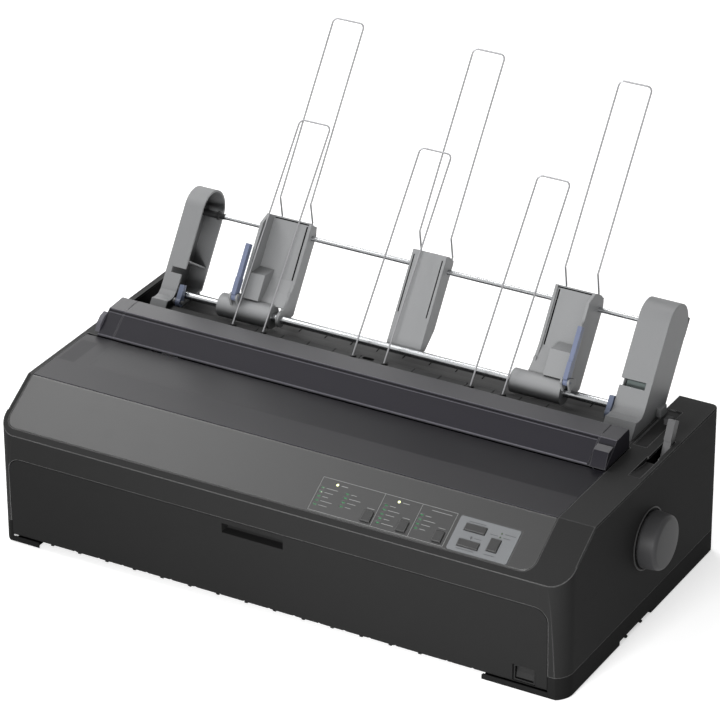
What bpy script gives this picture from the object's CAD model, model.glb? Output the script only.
"""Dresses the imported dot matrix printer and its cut-sheet feeder for rendering.

Each CAD node gets a procedural finish. All keep their shapes but the knob and the guide shaft's
fittings, which better-shaped pieces replace. The small parts that the solids leave out (lamps,
printed marks, screws, terminals, trim, the shelf under the feeder) are meshes built here.
"""
import logging
import math
from dataclasses import dataclass
from enum import Enum
from functools import lru_cache
from typing import Any, Mapping, Sequence, Union

import bmesh
import bpy
from mathutils import Matrix, Vector


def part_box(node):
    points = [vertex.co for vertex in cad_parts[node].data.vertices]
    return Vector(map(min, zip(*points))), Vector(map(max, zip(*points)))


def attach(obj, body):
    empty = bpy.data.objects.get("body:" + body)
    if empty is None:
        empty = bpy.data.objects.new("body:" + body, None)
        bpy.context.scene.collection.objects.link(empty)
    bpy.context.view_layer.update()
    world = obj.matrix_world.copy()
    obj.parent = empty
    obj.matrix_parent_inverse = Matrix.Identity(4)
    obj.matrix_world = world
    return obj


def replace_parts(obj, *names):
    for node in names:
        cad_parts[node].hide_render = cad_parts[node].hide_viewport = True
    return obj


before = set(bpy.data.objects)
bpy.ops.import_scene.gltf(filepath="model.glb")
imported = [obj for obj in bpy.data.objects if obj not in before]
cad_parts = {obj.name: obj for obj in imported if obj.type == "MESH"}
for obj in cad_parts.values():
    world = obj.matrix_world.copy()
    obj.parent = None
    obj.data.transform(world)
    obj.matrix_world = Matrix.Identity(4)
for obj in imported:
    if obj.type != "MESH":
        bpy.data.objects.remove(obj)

log = logging.getLogger("printer")

Colour = tuple[float, float, float]
Point = tuple[float, float, float]
Outline = Sequence[tuple[float, float]]

MM = 0.001
HALF_W = 305.0
SLOPE_Z, SLOPE_TILT = 120.0, math.radians(31.3)
TOP_Z = 156.0
FEEDER_Y, FEEDER_Z, LEAN = 243.0, 170.0, math.radians(34.5)
SHIFT = Vector((-9.85, -215.0743, 0.0))
PIN_PITCH = 2.54


def srgb(red: float, green: float, blue: float) -> Colour:
    """Linear colour of an 8-bit screen colour.

    Args:
        red, green, blue: Levels from 0 to 255.

    Returns:
        The three linear levels.
    """
    def linear(level: float) -> float:
        """Linear value of one screen level."""
        c = level / 255.0
        return c / 12.92 if c <= 0.04045 else ((c + 0.055) / 1.055) ** 2.4
    return (linear(red), linear(green), linear(blue))


def scaled(colour: Colour, factor: float, plus: float = 0.0) -> Colour:
    """A colour made lighter or darker, up to white."""
    return tuple(min(1.0, c * factor + plus) for c in colour)


def corners(x0: float, y0: float, x1: float, y1: float) -> list[tuple[float, float]]:
    """The corners of a rectangle, anticlockwise."""
    return [(x0, y0), (x1, y0), (x1, y1), (x0, y1)]


def angles(count: int) -> list[float]:
    """Evenly spaced angles round a circle, from 0."""
    return [2 * math.pi * i / count for i in range(count)]


def turn(degrees: float, axis: str) -> Matrix:
    """A rotation about an axis."""
    return Matrix.Rotation(math.radians(degrees), 4, axis)


# ---------------- places on the machine
class Place:
    """Turns a place named in millimetres on the machine into the row's metres."""

    @staticmethod
    def case(x: float, y: float, z: float) -> Vector:
        """A point by its distance from the middle, from the front foot and from the table."""
        return (Vector((x, y, z)) + SHIFT) * MM

    @staticmethod
    def on_case(x: float = 0.0, y: float = 0.0, z: float = 0.0,
                turned: Matrix = Matrix()) -> Matrix:
        """The matrix that sets a mesh drawn in millimetres at a point of the case."""
        return Matrix.Translation(Place.case(x, y, z)) @ Matrix.Scale(MM, 4) @ turned

    @staticmethod
    def on_slope(x: float = 0.0, s: float = 0.0, n: float = 0.0) -> Matrix:
        """The matrix of a mesh drawn on the sloped face: x across, y up the slope, z out of it."""
        return (Place.on_case() @ Matrix.Translation((0, 0, SLOPE_Z))
                @ Matrix.Rotation(SLOPE_TILT, 4, "X") @ Matrix.Translation((x, s, n)))

    @staticmethod
    def on_lean(x: float = 0.0, d: float = 0.0, s: float = 0.0) -> Matrix:
        """The matrix of a mesh drawn on the leaning feeder: x across, y into it, z up the lean."""
        return (Place.on_case() @ Matrix.Translation((0, FEEDER_Y, FEEDER_Z))
                @ Matrix.Rotation(-LEAN, 4, "X") @ Matrix.Translation((x, d, s)))


    @staticmethod
    def on_feeder_front() -> Matrix:
        """The matrix of a mesh drawn on the feeder's front: x across, y up the lean, z out."""
        return Place.on_lean() @ turn(90, "X")

    @staticmethod
    def side_on() -> Matrix:
        """The matrix of a mesh drawn in side view: x is depth, y is height, z runs across."""
        return Place.on_case() @ Matrix(((0, 0, 1, 0), (1, 0, 0, 0), (0, 1, 0, 0), (0, 0, 0, 1)))


# ---------------- shader arithmetic
Source = Union["Signal", float, int]
EDGE_GAIN = 7.0      # how fast the edge mask rises with the rounded normal's turn
WEAR = 1.6           # how much lighter a worn edge is
CLOUD_SCALE = 11.0   # soft blotches per metre
RUB_SCALE = 60.0     # rubbed patches per metre
RECESS_REACH = 0.03  # metres from wall to wall that count as a recess


class Recipe:
    """The node tree of one finish, with one way of adding a node."""

    def __init__(self, name: str, owner: bpy.types.ID | None = None) -> None:
        """Starts an empty material, or clears another owner of nodes.

        Args:
            name: The finish's name.
            owner: The world, where the tree isn't a material's.
        """
        self.material = owner or bpy.data.materials.new(name)
        self.material.use_nodes = True
        self.tree = self.material.node_tree
        self.tree.nodes.clear()

    def node(self, kind: str, settings: Mapping[str, Any] | None = None,
             sockets: Mapping[Union[str, int], Any] | None = None) -> bpy.types.Node:
        """Adds a node.

        Args:
            kind: Blender's type name of the node.
            settings: Its properties, set first.
            sockets: A value, Signal or socket for each input, by name or index.

        Returns:
            The node.
        """
        made = self.tree.nodes.new(kind)
        for key, value in (settings or {}).items():
            setattr(made, key, value)
        for key, value in (sockets or {}).items():
            target = made.inputs[key]
            if isinstance(value, Signal):
                value = value.socket
            if isinstance(value, bpy.types.NodeSocket):
                self.tree.links.new(value, target)
            elif isinstance(value, (tuple, list, Vector)) and len(value) == 3 \
                    and target.type == "RGBA":
                target.default_value = (*value, 1.0)
            else:
                target.default_value = value
        return made

    def signal(self, node: bpy.types.Node, output: Union[str, int] = 0) -> "Signal":
        """One output of a node as a Signal."""
        return Signal(self, node.outputs[output])

    def stretched(self, stretch: Point) -> bpy.types.NodeSocket:
        """place() with its axes multiplied."""
        return self.node("ShaderNodeVectorMath", {"operation": "MULTIPLY"},
                         {0: self.place(), 1: stretch}).outputs[0]

    def place(self) -> "Signal":
        """Where a point lies on the machine, in metres, at rest."""
        return self.signal(self.node("ShaderNodeTexCoord"), "Object")

    def axes(self) -> tuple["Signal", "Signal", "Signal"]:
        """The three parts of place()."""
        parts = self.node("ShaderNodeSeparateXYZ", {}, {0: self.place()})
        return self.signal(parts, 0), self.signal(parts, 1), self.signal(parts, 2)

    def noise(self, scale: float, detail: float = 2.0, stretch: Point = (1, 1, 1)) -> "Signal":
        """Smooth noise from 0 to 1.

        Args:
            scale: Features per metre.
            detail: Octaves.
            stretch: Factors on the three axes.

        Returns:
            The noise.
        """
        return self.signal(self.node("ShaderNodeTexNoise", {}, {
            "Vector": self.stretched(stretch), "Scale": scale, "Detail": detail}))

    def cells(self, scale: float, feature: str = "F1", output: str = "Distance",
              stretch: Point = (1, 1, 1)) -> "Signal":
        """A Voronoi texture's distance or colour."""
        return self.signal(self.node("ShaderNodeTexVoronoi", {"feature": feature}, {
            "Vector": self.stretched(stretch), "Scale": scale}), output)

    def mix(self, share: Source, low: Any, high: Any) -> "Signal":
        """Mixes two colours.

        Args:
            share: 0 gives low and 1 gives high.
            low, high: Colours or Signals.

        Returns:
            The mixed colour.
        """
        return self.signal(self.node("ShaderNodeMix", {"data_type": "RGBA"},
                                     {0: share, 6: low, 7: high}), 2)

    def soft_edges(self, radius: float) -> tuple[bpy.types.NodeSocket, "Signal"]:
        """Rounds the look of sharp edges.

        Args:
            radius: How wide the rounding is, in metres.

        Returns:
            The rounded normal, and a mask that is 1 on the edges.
        """
        rounded = self.node("ShaderNodeBevel", {"samples": 4}, {"Radius": radius})
        flat = self.node("ShaderNodeNewGeometry")
        agree = self.signal(self.node("ShaderNodeVectorMath", {"operation": "DOT_PRODUCT"},
                                      {0: rounded.outputs[0], 1: flat.outputs["Normal"]}), "Value")
        return rounded.outputs[0], ((1.0 - agree) * EDGE_GAIN).clamp()

    def recess(self, reach: float) -> "Signal":
        """1 in tight corners and slots that are nearer than reach metres, 0 in the open."""
        near = self.signal(self.node("ShaderNodeAmbientOcclusion", {"samples": 5},
                                     {"Distance": reach}), "AO")
        return near.rise(0.15, 0.8, 1.0, 0.0)

    def upward(self) -> "Signal":
        """1 on faces that look up, 0 on walls."""
        parts = self.node("ShaderNodeSeparateXYZ", {},
                          {0: self.node("ShaderNodeNewGeometry").outputs["Normal"]})
        return self.signal(parts, 2).rise(0.75, 0.97)

    def bump(self, height: "Signal", depth: float, normal: Any = None,
             strength: float = 1.0) -> bpy.types.NodeSocket:
        """Raises the surface by a height from 0 to 1 times depth metres."""
        sockets = {"Height": height, "Distance": depth, "Strength": strength}
        if normal is not None:
            sockets["Normal"] = normal
        return self.node("ShaderNodeBump", {}, sockets).outputs[0]

    def finish(self, **sockets: Any) -> bpy.types.Material:
        """Closes the tree with a Principled BSDF.

        Args:
            sockets: Its inputs, with underscores for spaces.

        Returns:
            The material.
        """
        shader = self.node("ShaderNodeBsdfPrincipled", {},
                           {key.replace("_", " "): value for key, value in sockets.items()})
        self.node("ShaderNodeOutputMaterial", {}, {"Surface": shader.outputs[0]})
        base = sockets.get("Base_Color")
        if isinstance(base, tuple):
            self.material.diffuse_color = (*base, 1.0)
        return self.material


class Signal:
    """A number in a material. Arithmetic on it adds Math nodes."""

    def __init__(self, recipe: Recipe, socket: Any) -> None:
        """Wraps a socket.

        Args:
            recipe: The tree that the socket is in.
            socket: The output socket.
        """
        self.recipe, self.socket = recipe, socket

    def math(self, operation: str, *terms: Source) -> "Signal":
        """A Math node's result on the terms."""
        node = self.recipe.node("ShaderNodeMath", {"operation": operation},
                                dict(enumerate(terms)))
        return Signal(self.recipe, node.outputs[0])

    def __add__(self, other: Source) -> "Signal":
        """Sum."""
        return self.math("ADD", self, other)

    __radd__ = __add__

    def __sub__(self, other: Source) -> "Signal":
        """Difference."""
        return self.math("SUBTRACT", self, other)

    def __rsub__(self, other: Source) -> "Signal":
        """Difference, the other way round."""
        return self.math("SUBTRACT", other, self)

    def __mul__(self, other: Source) -> "Signal":
        """Product."""
        return self.math("MULTIPLY", self, other)

    __rmul__ = __mul__

    def __lt__(self, other: Source) -> "Signal":
        """1 where this is less."""
        return self.math("LESS_THAN", self, other)

    def clamp(self) -> "Signal":
        """Kept from 0 to 1."""
        return self.rise(0.0, 1.0)

    def rise(self, low: float, high: float, start: float = 0.0, end: float = 1.0) -> "Signal":
        """Goes from start to end as this goes from low to high."""
        node = self.recipe.node("ShaderNodeMapRange", {},
                                {0: self, 1: low, 2: high, 3: start, 4: end})
        return Signal(self.recipe, node.outputs[0])

    def between(self, low: float, high: float, soft: float = 0.0008) -> "Signal":
        """1 from low to high, with soft ends."""
        return self.rise(low - soft, low + soft) * self.rise(high - soft, high + soft, 1.0, 0.0)

    def wave(self, pitch: float) -> "Signal":
        """A wave from 0 to 1 that repeats every pitch."""
        return self.math("SINE", self * (2 * math.pi / pitch)) * 0.5 + 0.5


# ---------------- finishes
@dataclass(frozen=True)
class Finish:
    """What every finish shares: a name, and one material that is made once."""

    name: str

    @lru_cache(maxsize=None)
    def material(self) -> bpy.types.Material:
        """The finish as a Blender material."""
        return self.shade(Recipe(self.name))

    def shade(self, r: Recipe) -> bpy.types.Material:
        """Fills the recipe."""
        raise NotImplementedError


@dataclass(frozen=True)
class Moulded(Finish):
    """Spark-textured moulded plastic."""

    colour: Colour
    rough: float = 0.5
    grain: float = 2200.0
    depth: float = 0.00003
    edge: float = 0.45
    edge_width: float = 0.0008
    mottle: float = 0.08
    gloss: float = 0.5
    edge_light: float = 0.03
    cavity: float = 0.0
    top_coat: float = 0.0

    def shade(self, r: Recipe) -> bpy.types.Material:
        """Fills the recipe."""
        normal, rim = r.soft_edges(self.edge_width)
        cloud = r.noise(CLOUD_SCALE, 3.0)
        spark = r.noise(self.grain, 1.0)
        rub = r.noise(RUB_SCALE, 4.0, (1, 1, 4)).rise(0.62, 0.75)
        dark = scaled(self.colour, 1 - self.mottle)
        light = scaled(self.colour, 1 + self.mottle)
        worn = scaled(self.colour, WEAR, self.edge_light)
        tint = r.mix(cloud * 0.6 + spark * 0.4, dark, light)
        tint = r.mix(rim * self.edge * (0.7 + 0.3 * cloud), tint, worn)
        if self.cavity:
            tint = r.mix(r.recess(RECESS_REACH) * self.cavity, tint, scaled(self.colour, 0.12))
        rough = self.rough + (spark - 0.5) * 0.08 + rub * 0.05 - rim * 0.1
        coat = {"Coat_Weight": r.upward() * self.top_coat,
                "Coat_Roughness": 0.42} if self.top_coat else {}
        return r.finish(Base_Color=tint, Roughness=rough, Specular_IOR_Level=self.gloss,
                        Normal=r.bump(spark, self.depth, normal), **coat)


@dataclass(frozen=True)
class SmokedWindow(Finish):
    """Tinted cover: a paler band along its front and left edge, darker see-through middle."""

    name: str = "smoked_acrylic"
    band: Colour = srgb(23, 22, 26)
    window: Colour = srgb(18, 17, 22)

    def shade(self, r: Recipe) -> bpy.types.Material:
        """Fills the recipe."""
        normal, rim = r.soft_edges(0.0007)
        x, y, _ = r.axes()
        left, right = Place.case(-262, 0, 0).x, Place.case(300, 0, 0).x
        front, back = Place.case(0, 100, 0).y, Place.case(0, 170, 0).y
        glass = x.between(left, right, 0.0006) * y.between(front, back, 0.0006)
        patch = (x.between(Place.case(-296, 0, 0).x, Place.case(-278, 0, 0).x, 0.0005)
                 * y.between(Place.case(0, 98, 0).y, Place.case(0, 142, 0).y, 0.0005))
        cloud, spark = r.noise(6.0, 3.0), r.noise(2600.0, 1.0)
        tint = r.mix(glass * (0.9 + 0.1 * cloud), self.band, self.window)
        tint = r.mix(patch * 0.5, tint, self.window)
        tint = r.mix(rim * 0.5, tint, srgb(120, 119, 128))
        rough = 0.3 + (1.0 - glass) * 0.12 + (spark - 0.5) * 0.06
        coat = 0.02 + (1.0 - glass) * (1.0 - patch * 0.8) * 0.12
        return r.finish(Base_Color=tint, Roughness=rough, Alpha=1.0 - glass * 0.07,
                        Specular_IOR_Level=0.12, Coat_Weight=coat, Coat_Roughness=0.4,
                        Normal=r.bump(spark, 0.000012, normal))


@dataclass(frozen=True)
class Metal(Finish):
    """Drawn, rolled or plated metal."""

    colour: Colour
    rough: float = 0.25
    draw: Point = (1, 1, 1)
    lines: float = 900.0
    depth: float = 0.00001
    edge_width: float = 0.0004
    spangle: float = 0.0
    metallic: float = 1.0

    def shade(self, r: Recipe) -> bpy.types.Material:
        """Fills the recipe."""
        normal, rim = r.soft_edges(self.edge_width)
        lines = r.noise(self.lines, 2.0, self.draw)
        cloud = r.noise(30.0, 3.0)
        tint = r.mix(lines * 0.5 + cloud * 0.5, scaled(self.colour, 0.86), self.colour)
        if self.spangle:
            leaf = r.cells(160.0, output="Color")
            shade = r.signal(r.node("ShaderNodeSeparateColor", {}, {0: leaf}), 0)
            tint = r.mix(shade * self.spangle, tint, scaled(self.colour, 0.6))
        rough = self.rough + (lines - 0.5) * 0.14 + (cloud - 0.5) * 0.08 + rim * 0.05
        return r.finish(Base_Color=tint, Roughness=rough, Metallic=self.metallic,
                        Normal=r.bump(lines, self.depth, normal))


@dataclass(frozen=True)
class Rubber(Finish):
    """Ground or moulded rubber, with fine rings where it was ground."""

    colour: Colour
    rings: float = 0.0
    rough: float = 0.72

    def shade(self, r: Recipe) -> bpy.types.Material:
        """Fills the recipe."""
        x, _, _ = r.axes()
        cloud, fine = r.noise(40.0, 4.0), r.noise(3500.0, 2.0)
        tint = r.mix(cloud, scaled(self.colour, 0.8), scaled(self.colour, 1.25))
        height = fine * 0.6 + (x.wave(self.rings) * 0.6 if self.rings else cloud * 0.2)
        normal, _ = r.soft_edges(0.0005)
        return r.finish(Base_Color=tint, Roughness=self.rough + (fine - 0.5) * 0.12,
                        Specular_IOR_Level=0.35, Normal=r.bump(height, 0.00004, normal))


@dataclass(frozen=True)
class CircuitBoard(Finish):
    """Solder mask over copper tracks, with pads."""

    name: str = "circuit_board"
    mask: Colour = srgb(28, 92, 52)

    def shade(self, r: Recipe) -> bpy.types.Material:
        """Fills the recipe."""
        run = r.cells(180.0, "DISTANCE_TO_EDGE", stretch=(1, 1, 0.2))
        across = r.cells(310.0, "DISTANCE_TO_EDGE", stretch=(0.35, 1, 0.2))
        track = 1.0 - run.rise(0.03, 0.06) * across.rise(0.02, 0.05)
        pad = r.cells(260.0, stretch=(1, 1, 0.1)) < 0.13
        tint = r.mix(track * 0.7, self.mask, scaled(self.mask, 1.9))
        tint = r.mix(pad, tint, srgb(190, 188, 176))
        return r.finish(Base_Color=tint, Roughness=0.35 + pad * 0.1, Metallic=pad * 0.9,
                        Normal=r.bump(track + pad, 0.00004))


@dataclass(frozen=True)
class Lens(Finish):
    """A lamp's window, dark or lit."""

    colour: Colour
    glow: float = 0.0

    def shade(self, r: Recipe) -> bpy.types.Material:
        """Fills the recipe."""
        facet = r.cells(2400.0)
        tint = r.mix(facet, scaled(self.colour, 0.6), scaled(self.colour, 1.3))
        return r.finish(Base_Color=tint, Roughness=0.2, Emission_Color=tint,
                        Emission_Strength=self.glow, Normal=r.bump(facet, 0.00003))


@dataclass(frozen=True)
class Fabric(Finish):
    """Inked woven nylon."""

    name: str = "inked_nylon"
    thread: float = 0.00035

    def shade(self, r: Recipe) -> bpy.types.Material:
        """Fills the recipe."""
        x, _, z = r.axes()
        weave = x.wave(self.thread) * z.wave(self.thread)
        soak = r.noise(80.0, 4.0)
        tint = r.mix(soak, srgb(14, 13, 18), srgb(30, 28, 36))
        return r.finish(Base_Color=tint, Roughness=0.6 + weave * 0.2,
                        Normal=r.bump(weave, 0.00006))


CASE = Moulded("charcoal_case", srgb(26, 26, 26), 0.7, edge=0.4, gloss=0.03, edge_light=0.0)
UPPER = Moulded("charcoal_upper_case", srgb(35, 35, 35), 0.66, edge=0.9, edge_width=0.0014,
                gloss=0.04, edge_light=0.17, top_coat=0.2)
FLAP = Moulded("charcoal_front_cover", srgb(33, 33, 33), 0.7, edge=0.5, gloss=0.03,
               edge_light=-0.02)
FACE = Moulded("graphite_face", srgb(38, 38, 38), 0.36, edge=0.7, edge_width=0.0022,
               gloss=0.46, edge_light=0.1)
DECK = Moulded("graphite_deck", srgb(44, 44, 44), 0.5, edge=0.3, gloss=0.2)
HUMP = Moulded("slate_guide", srgb(33, 32, 37), 0.42, 1500.0, 0.00005, edge=0.8,
               edge_width=0.0011, gloss=0.08, edge_light=0.1, top_coat=0.7)
SMOKE = SmokedWindow()
FEEDER = Moulded("grey_feeder", srgb(134, 135, 136), 0.5, edge=0.25, mottle=0.05, cavity=0.6)
FEEDER_END = Moulded("grey_feeder_arm", srgb(122, 123, 124), 0.5, edge=0.35, mottle=0.05,
                     cavity=1.0)
ARM_BACK = Moulded("arm_slot_back", srgb(84, 94, 92), 0.5, edge=0.2)
BLUE = Moulded("blue_lever", srgb(102, 110, 134), 0.4, edge=0.4)
DEEP_BLUE = Moulded("deep_blue_lever", srgb(84, 92, 112), 0.4, edge=0.4)
KEYCAP = Moulded("key_cap", srgb(46, 46, 46), 0.45, edge=0.9, edge_width=0.0006, gloss=0.25,
                 edge_light=0.08)
KNOB = Moulded("grey_knob", srgb(54, 54, 55), 0.5, edge=0.1, edge_width=0.0009, gloss=0.2)
RING = Moulded("knob_seat", srgb(60, 60, 60), 0.5, edge=0.3, gloss=0.2)
LIP = Moulded("slate_lip", srgb(82, 81, 87), 0.4, 1500.0, edge=0.2, gloss=0.2)
SHADE = Moulded("dark_recess", srgb(9, 9, 9), 0.8, edge=0.0, gloss=0.02)
BLACK = Moulded("black_moulding", srgb(15, 15, 15), 0.38, edge=0.5, gloss=0.2)
SLEEVE = Moulded("black_fitting", srgb(26, 26, 27), 0.5, edge=0.4, gloss=0.25)
LEVER = Moulded("grey_lever", srgb(82, 82, 83), 0.5, edge=0.4, gloss=0.25)
NYLON = Moulded("nylon_gear", srgb(214, 210, 200), 0.4, mottle=0.03, edge=0.2)
CHROME = Metal("bright_shaft", (0.47, 0.48, 0.49), 0.24, (0.05, 1, 1))
WIRE = Metal("bent_wire", (0.34, 0.34, 0.35), 0.4, lines=600.0)
ZINC = Metal("zinc_sheet", (0.6, 0.61, 0.62), 0.38, spangle=0.35)
BRASS = Metal("turned_brass", (0.72, 0.52, 0.24), 0.28)
MOTOR = Metal("motor_can", (0.3, 0.3, 0.32), 0.36, (1, 0.1, 0.1))
ALLOY = Metal("cast_alloy", (0.32, 0.32, 0.33), 0.5, depth=0.00003)
PLATE = Metal("silver_plate", srgb(100, 102, 104), 0.5, (1, 30, 30), 250.0, metallic=0.1)
TIN = Metal("tinned_pin", (0.75, 0.75, 0.72), 0.3)
PLATEN = Rubber("platen_rubber", srgb(30, 30, 31), 0.0009)
TYRE = Rubber("roller_rubber", srgb(40, 40, 40), 0.0012)
FOOT = Rubber("foot_rubber", srgb(20, 20, 20))
BELT = Rubber("belt_rubber", srgb(24, 24, 24), 0.002)
BOARD = CircuitBoard()
CHIP = Moulded("chip_package", srgb(26, 26, 28), 0.5, edge=0.6, edge_width=0.0003)
LAMP_OFF = Lens("lamp_off", srgb(46, 62, 34))
LAMP_ON = Lens("lamp_on", srgb(226, 240, 170), 2.2)
MARK = Moulded("printed_mark", srgb(132, 133, 132), 0.55, depth=0.000008, edge=0.0)
DARK_MARK = Moulded("dark_mark", srgb(54, 55, 56), 0.55, depth=0.000008, edge=0.0)
INKED = Fabric()


# ---------------- mesh making
class Draft:
    """A mesh under construction, in millimetres, which is set in place at the end."""

    def __init__(self) -> None:
        """Starts an empty mesh."""
        self.bm = bmesh.new()

    def prism(self, outline: Outline, low: float, high: float, at: Matrix = Matrix(),
              rim: float = 0.0) -> "Draft":
        """A straight-sided block.

        Args:
            outline: Its corners, anticlockwise from above.
            low, high: Its lower and upper level.
            at: Where it stands.
            rim: How far the top edge is cut back and down, for a soft edge.

        Returns:
            This draft.
        """
        mid = Vector((sum(p[0] for p in outline) / len(outline),
                      sum(p[1] for p in outline) / len(outline)))
        size = max(max(abs(p[0] - mid.x), abs(p[1] - mid.y)) for p in outline)
        levels = [(low, 0.0)] + ([(high - rim, 0.0)] if rim else []) + [(high, rim)]
        rings = []
        for level, inset in levels:
            share = 1 - inset / max(size, 1e-6)
            rings.append([self.bm.verts.new(at @ Vector(
                (mid.x + (p[0] - mid.x) * share, mid.y + (p[1] - mid.y) * share, level)))
                for p in outline])
        self._skin(rings)
        return self

    def _skin(self, rings: list[list[bmesh.types.BMVert]], closed: bool = False) -> None:
        """Joins rings of points with faces, and caps the ends unless it is closed."""
        count = len(rings[0])
        pairs = list(zip(rings, rings[1:])) + ([(rings[-1], rings[0])] if closed else [])
        for lower, upper in pairs:
            for i in range(count):
                j = (i + 1) % count
                self.bm.faces.new((lower[i], lower[j], upper[j], upper[i]))
        if not closed:
            self.bm.faces.new(list(reversed(rings[0])))
            self.bm.faces.new(rings[-1])

    def turned(self, profile: Outline, at: Matrix = Matrix(), sides: int = 24) -> "Draft":
        """A turned piece about its z axis.

        Args:
            profile: (radius, height) from the foot up.
            at: Where it stands.
            sides: Facets round it.

        Returns:
            This draft.
        """
        self._skin([[self.bm.verts.new(at @ Vector((
            radius * math.cos(a), radius * math.sin(a), level))) for a in angles(sides)]
            for radius, level in profile])
        return self

    def tube(self, path: Sequence[Point], radius: float, at: Matrix = Matrix(),
             sides: int = 10, closed: bool = False) -> "Draft":
        """A round wire along a path.

        Args:
            path: Its points.
            radius: Half its thickness.
            at: Where the path lies.
            sides: Facets round it.
            closed: Whether it joins its own start.

        Returns:
            This draft.
        """
        points = [Vector(p) for p in path]
        rings, side = [], None
        for i, point in enumerate(points):
            before = points[i - 1] if i or closed else point
            after = points[(i + 1) % len(points)] if i + 1 < len(points) or closed else point
            ahead = (after - before).normalized()
            side = side if side is not None else ahead.orthogonal()
            side = (side - ahead * side.dot(ahead)).normalized()
            up = ahead.cross(side)
            rings.append([self.bm.verts.new(at @ (point + radius * (
                side * math.cos(a) + up * math.sin(a)))) for a in angles(sides)])
        self._skin(rings, closed)
        return self

    def piece(self, name: str, body: str, finish: Finish,
              smooth: float = 35.0) -> bpy.types.Object:
        """Ends the draft as a piece of the machine.

        Args:
            name: The piece's name.
            body: The CAD body that it rides on.
            finish: Its finish.
            smooth: Edges flatter than this many degrees are shaded smooth.

        Returns:
            The object.
        """
        bmesh.ops.recalc_face_normals(self.bm, faces=self.bm.faces)
        mesh = bpy.data.meshes.new(name)
        self.bm.to_mesh(mesh)
        self.bm.free()
        mesh.shade_smooth()
        mesh.set_sharp_from_angle(angle=math.radians(smooth))
        mesh.materials.append(finish.material())
        made = bpy.data.objects.new(name, mesh)
        bpy.context.scene.collection.objects.link(made)
        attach(made, body)
        log.info("piece %s on %s", name, body)
        return made


def rounded(x0: float, y0: float, x1: float, y1: float, r: float, steps: int = 5) -> list:
    """Corners of a rectangle with rounded corners.

    Args:
        x0, y0, x1, y1: Its sides.
        r: Corner radius.
        steps: Points on each corner, less one.

    Returns:
        Its points, anticlockwise.
    """
    points = []
    for cx, cy, start in ((x1 - r, y0 + r, -90), (x1 - r, y1 - r, 0),
                          (x0 + r, y1 - r, 90), (x0 + r, y0 + r, 180)):
        for i in range(steps + 1):
            a = math.radians(start + 90 * i / steps)
            points.append((cx + r * math.cos(a), cy + r * math.sin(a)))
    return points


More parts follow.
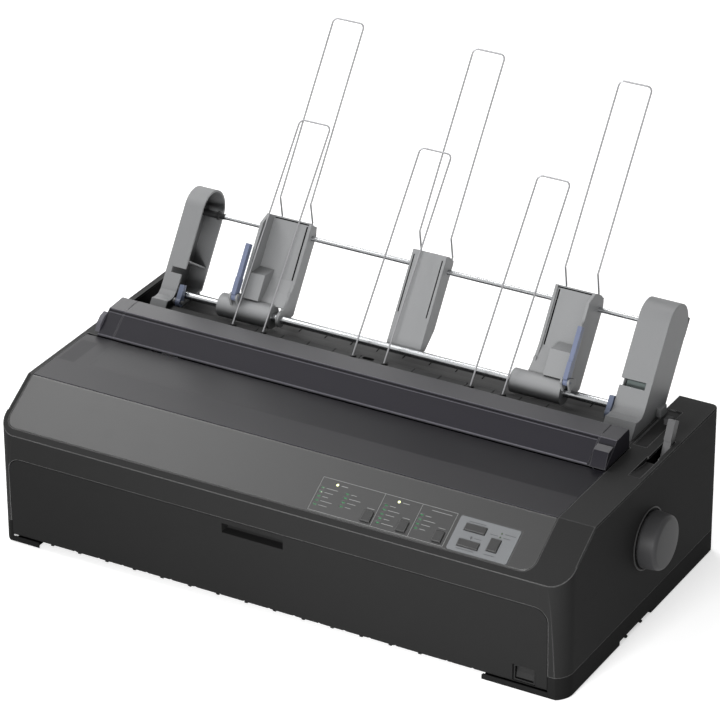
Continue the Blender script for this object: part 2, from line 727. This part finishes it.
# ---------------- sub-assemblies
@dataclass
class ControlPanel:
    """Lamps, printed marks and plate marks of the sloped face."""

    outline: tuple[float, float, float, float] = (34.5, 10.0, 175.5, 46.3)
    dividers: tuple[float, ...] = (100.0, 139.0)
    columns: tuple[tuple[float, float, int, float], ...] = (
        (37, 16, 5, 4.6), (63, 20.6, 4, 4.6), (104, 15, 5, 4.8), (141, 20, 4, 4.8))
    lit: tuple[tuple[float, float], ...] = ((51.5, 41.5), (116.1, 41.6))
    line: float = 0.35

    def build(self) -> None:
        """Builds every piece of the panel."""
        self.frame_lines()
        self.lamps()
        self.ticks()
        self.plate_marks()

    def strip(self, draft: Draft, x0: float, s0: float, x1: float, s1: float,
              level: float = 0.0) -> None:
        """Adds one printed mark to a draft."""
        draft.prism(corners(x0, s0, x1, s1), level - 0.02, level + 0.05, Place.on_slope())

    def frame_lines(self) -> None:
        """The thin outline round the lamp groups, with its dividers."""
        x0, s0, x1, s1 = self.outline
        w, draft = self.line, Draft()
        for a, b, c, d in ((x0, s1 - w, x1, s1), (x0, s0, x1, s0 + w), (x0, s0, x0 + w, s1),
                           (x1 - w, s0, x1, s1)):
            self.strip(draft, a, b, c, d)
        for x in self.dividers:
            self.strip(draft, x, s0, x + w, s1)
        draft.piece("panel_lines", "case", MARK)

    def lamps(self) -> None:
        """A lens in each window, and the two lamps that are lit."""
        for index, (x, s, count, pitch) in enumerate(self.columns, 1):
            draft = Draft()
            for i in range(count):
                for half in (0, 1):
                    draft.prism(rounded(0.2 + half * 1.6, 0.2, 1.6 + half * 1.6, 1.6, 0.3, 2),
                                -2.2, -0.25, Place.on_slope(x, s + i * pitch), 0.2)
            draft.piece(f"lamp_column_{index}", "case", LAMP_OFF)
        draft = Draft()
        for x, s in self.lit:
            draft.turned([(1.25, -0.1), (1.2, 0.15), (0.8, 0.45), (0.2, 0.55)],
                         Place.on_slope(x, s), 16)
        draft.piece("lit_lamps", "case", LAMP_ON)

    def ticks(self) -> None:
        """Plain dashes beside the lamps and over the keys."""
        draft = Draft()
        for x, s, count, pitch in self.columns:
            for i in range(count):
                self.strip(draft, x + 5.6, s + 0.7 + i * pitch,
                           x + 11.5 + 3.0 * ((i * 7 + int(x)) % 3), s + 1.2 + i * pitch)
        for x, s in self.lit:
            self.strip(draft, x + 4, s - 0.3, x + 11, s + 0.3)
        for x, s, w in ((88, 27, 10.4), (125, 27, 10.2), (162.2, 27, 10)):
            self.strip(draft, x + 1.5, s, x + w - 1.5, s + 0.5)
        self.strip(draft, 150, 42.2, 171, 42.7)
        draft.piece("panel_ticks", "case", MARK)

    def plate_marks(self) -> None:
        """Arrow heads, dashes and two small lamps on the silver plate."""
        draft, at = Draft(), Place.on_slope()
        for x, s, up in ((196.6, 26.2, 1), (196.6, 26.0, -1)):
            draft.prism([(x, s), (x + 2.6, s), (x + 1.3, s + up * 1.9)][::up], 0.28, 0.36, at)
        for x0, s, x1 in ((189, 41.6, 206), (201, 26.0, 208), (188, 12.4, 206), (213, 34.6, 221),
                          (227, 38.0, 238), (227, 34.0, 234), (216, 13.6, 227)):
            draft.prism(corners(x0, s, x1, s + 0.5), 0.28, 0.36, at)
        draft.piece("plate_marks", "case", DARK_MARK)
        draft = Draft()
        for x, s in ((223.8, 38.2), (223.8, 34.2)):
            draft.turned([(0.95, 0.25), (0.85, 0.5), (0.4, 0.65)], Place.on_slope(x, s), 14)
        draft.piece("plate_lamps", "case", LAMP_OFF)


@dataclass
class CaseTrim:
    """Small parts on the outside of the case."""

    bump_pitch: float = 31.0
    screw_r: float = 3.2
    feet: tuple[tuple[float, float], ...] = ((-290.0, -263.0), (221.0, 288.0))
    knob_at: tuple[float, float] = (170.0, 88.0)
    knob_edge: tuple[float, float, float] = (26.9, 4.4, 4.6)
    ring_r: float = 30.2

    def build(self) -> None:
        """Builds every piece of the trim."""
        self.edge_bumps()
        self.foot_floors()
        self.knob()
        self.screws()
        self.lever_block()
        self.socket_parts()

    def edge_bumps(self) -> None:
        """Small half-round tabs along the bottom edge of the front and the right side."""
        front, side = Draft(), Draft()
        for i in range(14):
            front.prism(rounded(-1.9, -1.0, 1.9, 1.0, 0.9), -1.0, 0.2,
                        Place.on_case(-248 + i * self.bump_pitch, 4.8, 8.1), 0.3)
        for i in range(9):
            side.prism(rounded(-1.2, -2.2, 1.2, 2.2, 1.1), -0.7, 0.6,
                       Place.on_case(HALF_W - 2.0, 40 + i * self.bump_pitch, 0.9), 0.3)
        front.piece("front_bumps", "front_cover", BLACK)
        side.piece("side_bumps", "case", BLACK)

    def foot_floors(self) -> None:
        """Dark floors in the hollows behind the two front feet, and the webs in front of them."""
        draft, webs = Draft(), Draft()
        for x0, x1 in self.feet:
            draft.prism(corners(x0, 3.6, x1, 14.5), 3.0, 4.2, Place.on_case())
            webs.prism(corners(x0, 2.6, x1, 4.0), 2.4, 6.8, Place.on_case(), 0.2)
        draft.piece("foot_floors", "case", SHADE)
        webs.piece("foot_webs", "case", CASE)

    def knob(self) -> None:
        """The smooth paper feed knob and the ring that it turns in."""
        at = Place.on_case(HALF_W + 1.5, *self.knob_at, turn(90, "Y"))
        rim, inset, rise = self.knob_edge
        edge = [(rim - inset * (1 - math.cos(a)), 14.0 + rise * math.sin(a))
                for a in (math.radians(10 * i) for i in range(10))]
        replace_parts(Draft().turned(
            [(22.0, 0.0), (26.6, 0.0), (27.8, 0.5), (28.1, 1.4), (28.0, 3.0), (27.0, 13.0), *edge,
             (18.0, 18.9), (12.0, 19.1), (4.0, 19.2)], at, 96).piece(
                 "knob_grip", "platen_unit", KNOB, 40), "knob")
        ring = [(0.0, self.ring_r * math.cos(a), self.ring_r * math.sin(a)) for a in angles(90)]
        Draft().tube(ring, 0.75, Place.on_case(HALF_W + 0.35, *self.knob_at), 8, True).piece(
            "knob_ring", "case", RING)

    def screws(self) -> None:
        """Pan-head screws with crossed slots in the rear wall."""
        heads, slots = Draft(), Draft()
        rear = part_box("upper_case")[1].y / MM - SHIFT.y
        for x, z in ((-285, 40), (285, 40), (-285, 130), (285, 130), (-60, 40)):
            at = Place.on_case(x, rear, z, turn(-90, "X"))
            heads.turned([(self.screw_r, -0.5), (self.screw_r, 0.6), (2.6, 1.3), (1.2, 1.7)],
                         at, 20)
            for w, h in ((0.35, 1.7), (1.7, 0.35)):
                slots.prism(corners(-w, -h, w, h), 1.3, 1.72, at)
        heads.piece("rear_screws", "case", TIN)
        slots.piece("rear_screw_slots", "case", BLACK)

    def lever_block(self) -> None:
        """The grey block behind the paper release lever."""
        Draft().prism(rounded(-3.5, -4.5, 3.5, 4.5, 1.2), -1.0, 6.0,
                      Place.on_case(276.5, 268.5, TOP_Z - 1.2), 0.8).piece(
                          "lever_block", "case", KNOB)

    def socket_parts(self) -> None:
        """Pins of the power inlet."""
        draft = Draft()
        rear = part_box("power_inlet")[1].y / MM - SHIFT.y
        at = Place.on_case(0, rear - 3, 0, turn(90, "X"))
        for x, z in ((-252.5, 45), (-239.5, 45), (-246, 48.5)):
            draft.prism(rounded(x - 1, z - 2, x + 1, z + 2, 0.6), 0, 13, at)
        draft.piece("inlet_pins", "case", TIN)


@dataclass
class GuideTrim:
    """End blocks, lips and flush fillers of the raised sheet guide cover."""

    foot: tuple[float, float] = (156.2, 157.2)
    crest: tuple[float, float] = (179.7, 176.0)
    ends: tuple[float, float] = (-288.0, 266.0)

    def build(self) -> None:
        """Builds every piece of the guide's trim."""
        self.fillers()
        self.end_blocks()
        self.lines()

    def fillers(self) -> None:
        """Strips that lie flush in the grooves, so that they read as thin seams."""
        skin = [self.foot, self.crest, (203.5, 177.0), (203.6, 175.8), (180.1, 174.8),
                (157.0, 156.4), (156.2, 156.4)]
        draft = Draft().prism(skin, -270.9, -269.6, Place.side_on())
        skin[0], skin[-2:] = self.along(0.52), [self.along(0.52, -1.0)]
        draft.prism(skin, 247.6, 248.9, Place.side_on())
        draft.piece("guide_seams", "sheet_guide_cover", HUMP)

    def along(self, share: float, out: float = 0.0) -> tuple[float, float]:
        """A point of the front face: its share of the way up, and how far it stands out."""
        (y0, z0), (y1, z1) = self.foot, self.crest
        size = math.hypot(y1 - y0, z1 - z0)
        return (y0 + (y1 - y0) * share - (z1 - z0) / size * out,
                z0 + (z1 - z0) * share + (y1 - y0) / size * out)

    def end_blocks(self) -> None:
        """The wedge at the right end and the small curved tab at the left end."""
        Draft().prism([(155.6, 156.5), (158.2, 156.6), (174.6, 171.4), (172.0, 173.0),
                       (163.4, 171.2), (162.0, 169.6)], 250.0, 265.6, Place.side_on()).piece(
                           "guide_end_wedge", "sheet_guide_cover", HUMP)
        Draft().prism([(158.5, 159.0), (160.5, 158.8), (166.5, 165.0), (173.0, 169.5),
                       (176.5, 171.0), (176.0, 173.0), (169.0, 171.5), (162.0, 166.0)],
                      -292.4, -287.5, Place.side_on()).piece(
                          "guide_left_tab", "sheet_guide_cover", LIP)

    def lines(self) -> None:
        """A lip along the foot, a bead along the crest and the dark line under it."""
        left, right = self.ends
        at = Place.on_case()
        draft = Draft()
        for share, out, radius, end in ((0.03, 0.0, 0.7, 247.0), (1.0, -0.2, 0.6, right),
                                        (0.87, -0.35, 0.5, 247.0)):
            y, z = self.along(share, out)
            draft.tube([(left, y, z), (end, y, z)], radius, at, 8)
        draft.piece("guide_beads", "sheet_guide_cover", LIP)
        y, z = self.along(0.93, -0.35)
        Draft().tube([(left, y, z), (247.0, y, z)], 0.5, at, 8).piece(
            "guide_dark_line", "sheet_guide_cover", SHADE)


@dataclass
class FeederTrim:
    """Grooves and sleeve of the feeder, the arm's closed slot, and the shelf under the shaft."""

    bed: tuple[float, float] = (16.9, 15.9)
    support: tuple[float, float] = (11.6, 10.9)
    shaft: tuple[float, float] = (23.0, 89.6)
    shelf: tuple[float, float] = (-248.2, 229.2)
    groove_pitch: float = 29.0

    def build(self) -> None:
        """Builds every piece of the feeder's trim."""
        self.grooves("left_hopper_grooves", "left_hopper", self.bed,
                     ((-140.6, 44, -139.2, 99), (-177, 100.4, -137, 101.6)))
        self.grooves("right_hopper_grooves", "right_hopper", self.bed,
                     ((137.2, 44, 138.6, 99), (135, 100.4, 176, 101.6)))
        self.trough_floor()
        self.shaft_sleeve()
        self.grooves("support_grooves", "centre_support", self.support,
                     ((-18, 40, -16.8, 98), (13, 40, 14.2, 98)))
        Draft().prism(corners(234.1, 24.1, 255.9, 30.9), -6.9, -6.1,
                      Place.on_feeder_front()).piece("arm_slot_back", "case", ARM_BACK)

    def trough_floor(self) -> None:
        """The low shelf under the drive shaft, with the deck's grooves carried across it."""
        floor = [(242.6, 151.0), (281.0, 152.5), (281.0, 155.6), (279.5, 156.0), (262.0, 154.3),
                 (242.6, 153.0)]
        Draft().prism(floor, *self.shelf, Place.side_on()).piece("trough_floor", "case", DECK)
        draft = Draft()
        for i in range(-7, 8):
            draft.prism([(262.0, 154.1), (279.5, 155.8), (279.5, 156.15), (262.0, 154.45)],
                        i * self.groove_pitch - 6, i * self.groove_pitch - 4.9,
                        Place.side_on())
        draft.piece("trough_grooves", "case", SHADE)

    def shaft_sleeve(self) -> None:
        """The dark sleeve on the guide shaft, with its collar, and the right arm's clip."""
        draft = Draft().turned([(2.9, 0.0), (3.4, 0.5), (3.4, 17.5), (3.2, 18.0), (4.4, 18.2),
                                (4.6, 18.8), (4.4, 20.6), (3.0, 21.0), (2.8, 27.0)],
                               Place.on_lean(-261, *self.shaft) @ turn(90, "Y"), 28)
        draft.prism(rounded(253, 46.2, 261, 50, 1.0, 3), 86, 105, Place.on_lean(), 0.6)
        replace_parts(draft.piece("shaft_sleeve", "case", SLEEVE), "shaft_fittings")

    def grooves(self, name: str, body: str, depths: tuple[float, float],
                marks: Sequence[tuple[float, float, float, float]]) -> None:
        """Dark strips that lie in grooves of a forward face.

        Args:
            name: The piece's name.
            body: The body that it rides on.
            depths: How deep its back and its front lie in the feeder.
            marks: x0, s0, x1, s1 of each strip.
        """
        draft = Draft()
        for x0, s0, x1, s1 in marks:
            draft.prism(corners(x0, s0, x1, s1), -depths[0], -depths[1],
                        Place.on_feeder_front())
        draft.piece(name, body, SHADE)


@dataclass
class Mechanism:
    """Small parts of the print unit and the boards."""

    fins: int = 7
    pin_row: int = 20
    chips: int = 16
    cans: Outline = ((-70, 292), (-58, 292), (88, 262), (100, 262), (112, 262))
    board_top: float = 15.6

    def build(self) -> None:
        """Builds every small part inside the machine."""
        self.ribbon_winder()
        self.head_fins()
        self.board_parts()
        self.pan_screws()

    def ribbon_winder(self) -> None:
        """The knob that winds the ribbon, on top of its cartridge."""
        draft = Draft()
        at = Place.on_case(-150, 75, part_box("ribbon_cartridge")[1].z / MM)
        draft.turned([(7, -0.5), (7, 2.2), (6, 3), (1.5, 3.2)], at, 32)
        for i in range(12):
            draft.prism(corners(6.6, -0.6, 7.6, 0.6), 0, 2.4, at @ turn(30 * i, "Z"))
        draft.piece("ribbon_winder", "case", KNOB)

    def head_fins(self) -> None:
        """Cooling fins on the print head."""
        low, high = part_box("print_head")
        centre = (low + high) / 2
        draft = Draft()
        width, depth = (high.x - low.x) / MM, (high.y - low.y) / MM
        outline = rounded(-width / 2 + 1, -depth * 0.2, width / 2 - 1, depth * 0.16, 2.0)
        at = (Matrix.Translation((centre.x, centre.y - depth * 0.12 * MM, low.z))
              @ Matrix.Scale(MM, 4))
        for i in range(self.fins):
            draft.prism(outline, 2.0 + i * 2.6, 3.1 + i * 2.6, at, 0.2)
        draft.piece("head_fins", "carriage", ALLOY)

    def board_parts(self) -> None:
        """Pin rows, small capacitors and resistors on the main board."""
        level, pins, cans, bits = self.board_top, Draft(), Draft(), Draft()
        for i in range(self.pin_row):
            pins.prism(corners(-0.35, -0.35, 0.35, 0.35), 0, 5,
                       Place.on_case(40 + i * PIN_PITCH, 252, level))
        for x, y in self.cans:
            cans.turned([(4, 0), (4, 9), (3.6, 9.6), (1, 9.8)], Place.on_case(x, y, level), 20)
        for i in range(self.chips):
            bits.prism(rounded(-1.6, -0.8, 1.6, 0.8, 0.2, 1), 0, 0.9,
                       Place.on_case(60 + (i % 8) * 9, 272 + (i // 8) * 9, level), 0.1)
        pins.piece("board_pins", "case", TIN)
        cans.piece("board_capacitors", "case", MOTOR)
        bits.piece("board_chips", "case", CHIP)

    def pan_screws(self) -> None:
        """Screws that hold the base pan down."""
        low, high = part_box("base_pan")
        draft = Draft()
        for x in (low.x + 0.012, high.x - 0.012):
            for y in (low.y + 0.009, high.y - 0.009):
                draft.turned([(3, -0.2), (3, 0.7), (2.2, 1.4), (0.8, 1.7)],
                             Matrix.Translation((x, y, 0.0115)) @ Matrix.Scale(MM, 4), 18)
        draft.piece("pan_screws", "case", TIN)


@dataclass
class Finishes:
    """Which finish each CAD node gets."""

    plan: tuple[tuple[Finish, tuple[str, ...]], ...] = (
        (CASE, ("lower_case",)),
        (UPPER, ("upper_case",)),
        (FLAP, ("front_cover",)),
        (FACE, ("control_face",)),
        (SMOKE, ("printer_cover",)),
        (HUMP, ("sheet_guide_cover",)),
        (DECK, ("rear_deck", "paper_guide")),
        (PLATE, ("label_plate",)),
        (KEYCAP, ("left_key", "middle_key", "right_key", "feed_up_key", "feed_down_key",
                  "pause_key")),
        (BLACK, ("switch_bezel", "power_rocker", "power_inlet", "ribbon_cartridge")),
        (KNOB, ("knob",)),
        (CHROME, ("platen_shaft", "carriage_shaft", "guide_shaft", "drive_shaft")),
        (PLATEN, ("platen",)),
        (NYLON, ("platen_gear", "idler_gear")),
        (BRASS, ("motor_pinion", "motor_pulley", "idler_pulley")),
        (MOTOR, ("feed_motor", "carriage_motor")),
        (ZINC, ("left_frame", "right_frame", "base_pan", "power_supply")),
        (SLEEVE, ("carriage", "shaft_fittings")),
        (ALLOY, ("print_head",)),
        (INKED, ("ribbon",)),
        (BELT, ("drive_belt",)),
        (BOARD, ("main_board", "panel_board")),
        (LEVER, ("release_lever",)),
        (FOOT, ("rubber_feet",)),
        (FEEDER_END, ("left_arm", "right_arm")),
        (FEEDER, ("left_hopper", "right_hopper", "centre_support")),
        (TYRE, ("left_roller", "right_roller")),
        (BLUE, ("left_lock_lever", "right_lock_lever")),
        (DEEP_BLUE, ("left_set_lever", "right_set_lever")),
        (WIRE, ("left_tall_hoop", "centre_tall_hoop", "right_tall_hoop", "short_hoops")),
    )

    def build(self) -> None:
        """Gives every CAD node its finish."""
        for finish, nodes in self.plan:
            for name in nodes:
                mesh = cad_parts[name].data
                mesh.materials.clear()
                mesh.materials.append(finish.material())
                log.info("node %s in %s", name, finish.name)


# ---------------- studio
class Lamp(Enum):
    """The studio's soft boxes: place, size and power."""

    KEY = ((-1.05, -0.05, 1.45), (1.0, 0.58), 10.0)
    REAR = ((-1.65, 1.45, 1.3), (1.1, 1.1), 12.0)
    RIDGE = ((-0.35, 0.5, 1.45), (0.35, 0.3), 4.0)
    FRONT = ((0.4, -2.6, 1.6), (1.8, 1.2), 5.0)
    NEAR = ((0.24, -1.0, 0.3), (0.25, 0.25), 10.5)


@dataclass
class Studio:
    """Pale floor, soft lamps, white background and the camera."""

    focal_px: float = 4071.546
    principal: tuple[float, float] = (364.947, 360.351)
    azimuth: float = 29.441
    elevation: float = 27.895
    roll: float = -0.187
    eye: Point = (1676.689, -2792.302, 1997.97)
    target: Point = (0.0, 0.0, 0.12)
    floor_r: float = 24.0
    floor_glow: float = 0.52
    ambient: float = 0.34

    def build(self) -> None:
        """Builds the whole studio."""
        self.floor()
        self.lights()
        self.world()
        self.camera()
        bpy.context.scene.view_settings.view_transform = "Standard"

    def seen(self, recipe: Recipe) -> Signal:
        """1 for rays that show the background: camera, glossy and transmission rays."""
        path = recipe.node("ShaderNodeLightPath")
        direct, glossy, through = (recipe.signal(path, name) for name in (
            "Is Camera Ray", "Is Glossy Ray", "Is Transmission Ray"))
        return direct.math("MAXIMUM", direct, glossy.math("MAXIMUM", glossy, through))

    def floor(self) -> None:
        """A wide pale disc under the machine."""
        recipe = Recipe("studio_floor")
        pale = recipe.node("ShaderNodeBsdfDiffuse", {}, {"Color": srgb(238, 238, 238)})
        glow = recipe.node("ShaderNodeEmission", {},
                           {"Color": (1, 1, 1), "Strength": self.seen(recipe) * self.floor_glow})
        both = recipe.node("ShaderNodeAddShader", {}, {0: pale.outputs[0], 1: glow.outputs[0]})
        recipe.node("ShaderNodeOutputMaterial", {}, {"Surface": both.outputs[0]})
        mesh = bpy.data.meshes.new("floor")
        edge = [(self.floor_r * math.cos(a), self.floor_r * math.sin(a), -0.0002)
                for a in angles(60)]
        mesh.from_pydata(edge, [], [tuple(range(len(edge)))])
        mesh.materials.append(recipe.material)
        disc = bpy.data.objects.new("floor", mesh)
        bpy.context.scene.collection.objects.link(disc)

    def lights(self) -> None:
        """The soft boxes, each turned to the machine."""
        for lamp in Lamp:
            place, size, power = lamp.value
            data = bpy.data.lights.new(lamp.name.lower(), "AREA")
            data.shape, data.size, data.size_y, data.energy = "RECTANGLE", *size, power
            made = bpy.data.objects.new(lamp.name.lower(), data)
            made.location = place
            made.rotation_euler = (Vector(self.target) - Vector(place)).to_track_quat(
                "-Z", "Y").to_euler()
            bpy.context.scene.collection.objects.link(made)

    def world(self) -> None:
        """White where it is seen, and a plain soft light on everything else."""
        world = bpy.data.worlds.new("studio")
        bpy.context.scene.world = world
        recipe = Recipe("studio", world)
        strength = self.ambient + self.seen(recipe) * (1.0 - self.ambient)
        back = recipe.node("ShaderNodeBackground", {},
                           {"Color": (1, 1, 1), "Strength": strength})
        recipe.node("ShaderNodeOutputWorld", {}, {"Surface": back.outputs[0]})

    def camera(self) -> None:
        """The camera where the photograph was taken from."""
        az, el, roll = (math.radians(a) for a in (self.azimuth, self.elevation, self.roll))
        ahead = Vector((-math.sin(az) * math.cos(el), math.cos(az) * math.cos(el),
                        -math.sin(el)))
        right = Vector((math.cos(az), math.sin(az), 0))
        up = right.cross(ahead)
        side = right * math.cos(roll) + up * math.sin(roll)
        top = up * math.cos(roll) - right * math.sin(roll)
        data = bpy.data.cameras.new("photo_view")
        data.sensor_width = 36.0
        data.lens = self.focal_px * 36.0 / 720.0
        data.shift_x = -(self.principal[0] - 360.0) / 720.0
        data.shift_y = (self.principal[1] - 360.0) / 720.0
        data.clip_end = 60.0
        made = bpy.data.objects.new("photo_view", data)
        turn = Matrix((side, top, -ahead)).transposed().to_4x4()
        made.matrix_world = Matrix.Translation((Vector(self.eye) + SHIFT) * MM) @ turn
        bpy.context.scene.collection.objects.link(made)
        bpy.context.scene.camera = made


def main() -> None:
    """Builds the studio and every sub-assembly, and keeps the sizes."""
    logging.basicConfig(level=logging.INFO, format="%(name)s: %(message)s")
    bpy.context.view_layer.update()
    for part in (Studio(), Finishes(), ControlPanel(), CaseTrim(), GuideTrim(),
                 FeederTrim(), Mechanism()):
        log.info("building %s", type(part).__name__)
        part.build()


if __name__ == "__main__":
    main()
